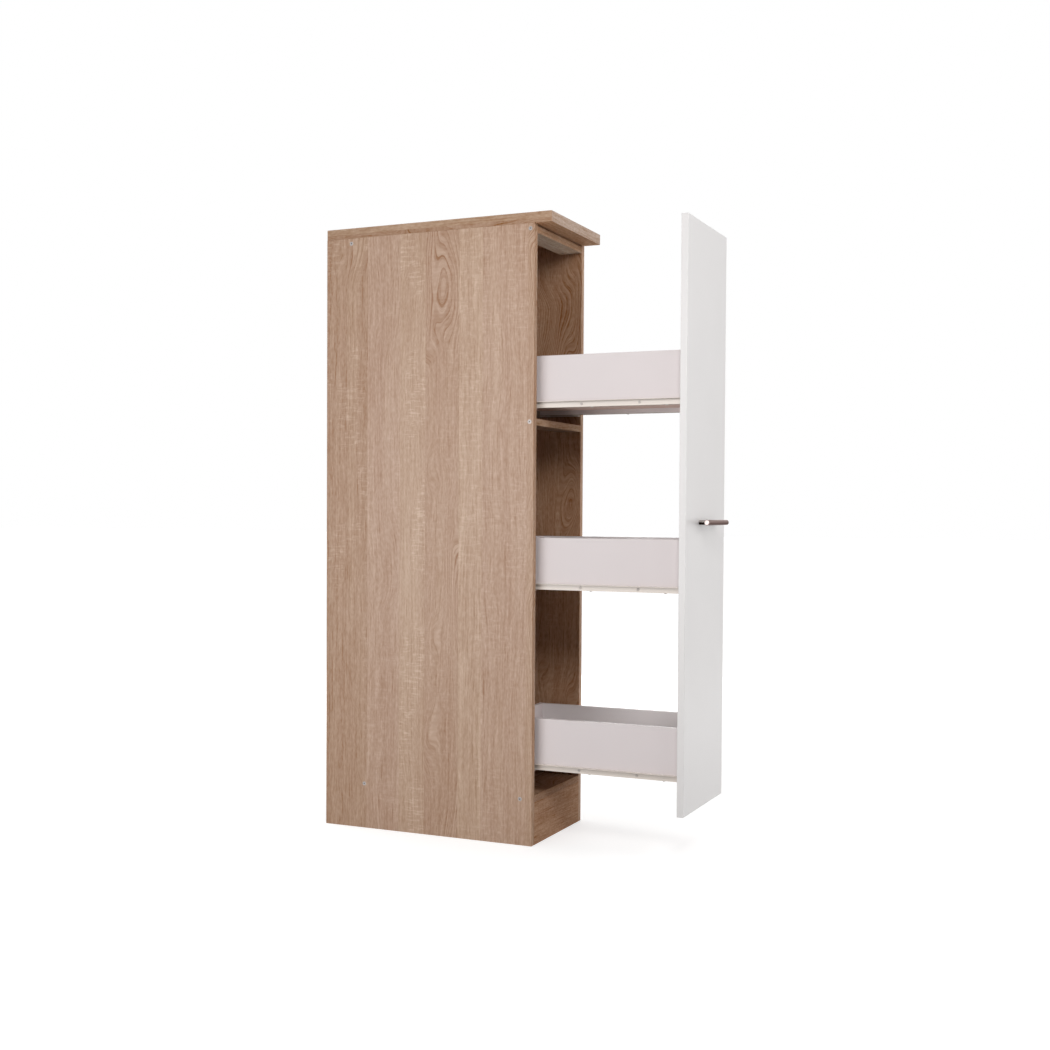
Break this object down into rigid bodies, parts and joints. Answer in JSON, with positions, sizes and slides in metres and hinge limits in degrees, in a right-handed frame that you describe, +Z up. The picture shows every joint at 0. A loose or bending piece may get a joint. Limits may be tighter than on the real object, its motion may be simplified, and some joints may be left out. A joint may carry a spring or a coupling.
{
  "type": "pull-out pantry cabinet",
  "caption": "Tall narrow kitchen cabinet with an oak-effect carcass and worktop, and a white pull-out front that carries storage trays on roller runners.",
  "frame": {"origin": "on the floor, under the middle of the plinth board at the foot of the carcass", "axes": "+Z up, -Y out of the front towards the user, +Y to the wall, +X to the right seen from the front"},
  "size_m": [0.3, 0.956, 1.46],
  "materials": {
    "oak_board": "oak-effect melamine, satin",
    "white_front": "white melamine, satin",
    "tray_board": "white foil, matt",
    "tray_bottom": "white lacquered hardboard",
    "hardboard": "plain hardboard, matt",
    "beech": "fluted beech, matt",
    "runner_steel": "cream powder coat",
    "roller_nylon": "natural nylon",
    "zinc_steel": "zinc plated",
    "handle_steel": "brushed, satin"
  },
  "bodies": {
    "carcass": {"left_side_panel": "oak_board", "right_side_panel": "oak_board", "worktop": "oak_board", "top_front_rail": "oak_board", "top_back_rail": "oak_board", "middle_rail": "oak_board", "bottom_panel": "oak_board", "plinth_board": "oak_board", "back_panel": "hardboard", "connecting_screws": "zinc_steel", "wooden_dowels": "beech", "worktop_screws": "zinc_steel", "cabinet_runner_screws": "zinc_steel", "front_roller_pins": "zinc_steel", "lower_left_cabinet_runner": "runner_steel", "lower_right_cabinet_runner": "runner_steel", "middle_left_cabinet_runner": "runner_steel", "middle_right_cabinet_runner": "runner_steel", "upper_left_cabinet_runner": "runner_steel", "upper_right_cabinet_runner": "runner_steel"},
    "pull_out": {"front_panel": "white_front", "front_brackets": "zinc_steel", "bracket_screws": "zinc_steel", "tray_corner_screws": "zinc_steel", "tray_runner_screws": "zinc_steel", "rear_roller_pins": "zinc_steel", "handle_bar": "handle_steel", "handle_posts": "handle_steel", "handle_screws": "zinc_steel", "lower_left_tray_runner": "runner_steel", "lower_tray_left_side": "tray_board", "lower_right_tray_runner": "runner_steel", "lower_tray_right_side": "tray_board", "lower_tray_back": "tray_board", "lower_tray_bottom": "tray_bottom", "middle_left_tray_runner": "runner_steel", "middle_tray_left_side": "tray_board", "middle_right_tray_runner": "runner_steel", "middle_tray_right_side": "tray_board", "middle_tray_back": "tray_board", "middle_tray_bottom": "tray_bottom", "upper_left_tray_runner": "runner_steel", "upper_tray_left_side": "tray_board", "upper_right_tray_runner": "runner_steel", "upper_tray_right_side": "tray_board", "upper_tray_back": "tray_board", "upper_tray_bottom": "tray_bottom"},
    "lower_left_front_roller": {"lower_left_front_roller": "roller_nylon"},
    "lower_left_rear_roller": {"lower_left_rear_roller": "roller_nylon"},
    "lower_right_front_roller": {"lower_right_front_roller": "roller_nylon"},
    "lower_right_rear_roller": {"lower_right_rear_roller": "roller_nylon"},
    "middle_left_front_roller": {"middle_left_front_roller": "roller_nylon"},
    "middle_left_rear_roller": {"middle_left_rear_roller": "roller_nylon"},
    "middle_right_front_roller": {"middle_right_front_roller": "roller_nylon"},
    "middle_right_rear_roller": {"middle_right_rear_roller": "roller_nylon"},
    "upper_left_front_roller": {"upper_left_front_roller": "roller_nylon"},
    "upper_left_rear_roller": {"upper_left_rear_roller": "roller_nylon"},
    "upper_right_front_roller": {"upper_right_front_roller": "roller_nylon"},
    "upper_right_rear_roller": {"upper_right_rear_roller": "roller_nylon"}
  },
  "joints": [
    {"name": "pantry_pull_out", "type": "slide", "parent": "carcass", "child": "pull_out", "axis": [0, 1, 0], "range_m": [0, 0.349]},
    {"name": "lower_left_front_roller_spin", "type": "hinge", "parent": "carcass", "child": "lower_left_front_roller", "pos_m": [-0.1293, 0.007, 0.1796], "axis": [1, 0, 0], "continuous": true},
    {"name": "lower_left_rear_roller_spin", "type": "hinge", "parent": "pull_out", "child": "lower_left_rear_roller", "pos_m": [-0.1262, 0.077, 0.1794], "axis": [1, 0, 0], "continuous": true},
    {"name": "lower_right_front_roller_spin", "type": "hinge", "parent": "carcass", "child": "lower_right_front_roller", "pos_m": [0.1293, 0.007, 0.1796], "axis": [1, 0, 0], "continuous": true},
    {"name": "lower_right_rear_roller_spin", "type": "hinge", "parent": "pull_out", "child": "lower_right_rear_roller", "pos_m": [0.1262, 0.077, 0.1794], "axis": [1, 0, 0], "continuous": true},
    {"name": "middle_left_front_roller_spin", "type": "hinge", "parent": "carcass", "child": "middle_left_front_roller", "pos_m": [-0.1293, 0.007, 0.5996], "axis": [1, 0, 0], "continuous": true},
    {"name": "middle_left_rear_roller_spin", "type": "hinge", "parent": "pull_out", "child": "middle_left_rear_roller", "pos_m": [-0.1262, 0.077, 0.5994], "axis": [1, 0, 0], "continuous": true},
    {"name": "middle_right_front_roller_spin", "type": "hinge", "parent": "carcass", "child": "middle_right_front_roller", "pos_m": [0.1293, 0.007, 0.5996], "axis": [1, 0, 0], "continuous": true},
    {"name": "middle_right_rear_roller_spin", "type": "hinge", "parent": "pull_out", "child": "middle_right_rear_roller", "pos_m": [0.1262, 0.077, 0.5994], "axis": [1, 0, 0], "continuous": true},
    {"name": "upper_left_front_roller_spin", "type": "hinge", "parent": "carcass", "child": "upper_left_front_roller", "pos_m": [-0.1293, 0.007, 1.0196], "axis": [1, 0, 0], "continuous": true},
    {"name": "upper_left_rear_roller_spin", "type": "hinge", "parent": "pull_out", "child": "upper_left_rear_roller", "pos_m": [-0.1262, 0.077, 1.0194], "axis": [1, 0, 0], "continuous": true},
    {"name": "upper_right_front_roller_spin", "type": "hinge", "parent": "carcass", "child": "upper_right_front_roller", "pos_m": [0.1293, 0.007, 1.0196], "axis": [1, 0, 0], "continuous": true},
    {"name": "upper_right_rear_roller_spin", "type": "hinge", "parent": "pull_out", "child": "upper_right_rear_roller", "pos_m": [0.1262, 0.077, 1.0194], "axis": [1, 0, 0], "continuous": true}
  ],
  "couplings": [
    {"joint": "lower_left_front_roller_spin", "follows": "pantry_pull_out", "rad_per_m": -142.86},
    {"joint": "lower_left_rear_roller_spin", "follows": "pantry_pull_out", "rad_per_m": -142.86},
    {"joint": "lower_right_front_roller_spin", "follows": "pantry_pull_out", "rad_per_m": -142.86},
    {"joint": "lower_right_rear_roller_spin", "follows": "pantry_pull_out", "rad_per_m": -142.86},
    {"joint": "middle_left_front_roller_spin", "follows": "pantry_pull_out", "rad_per_m": -142.86},
    {"joint": "middle_left_rear_roller_spin", "follows": "pantry_pull_out", "rad_per_m": -142.86},
    {"joint": "middle_right_front_roller_spin", "follows": "pantry_pull_out", "rad_per_m": -142.86},
    {"joint": "middle_right_rear_roller_spin", "follows": "pantry_pull_out", "rad_per_m": -142.86},
    {"joint": "upper_left_front_roller_spin", "follows": "pantry_pull_out", "rad_per_m": -142.86},
    {"joint": "upper_left_rear_roller_spin", "follows": "pantry_pull_out", "rad_per_m": -142.86},
    {"joint": "upper_right_front_roller_spin", "follows": "pantry_pull_out", "rad_per_m": -142.86},
    {"joint": "upper_right_rear_roller_spin", "follows": "pantry_pull_out", "rad_per_m": -142.86}
  ]
}
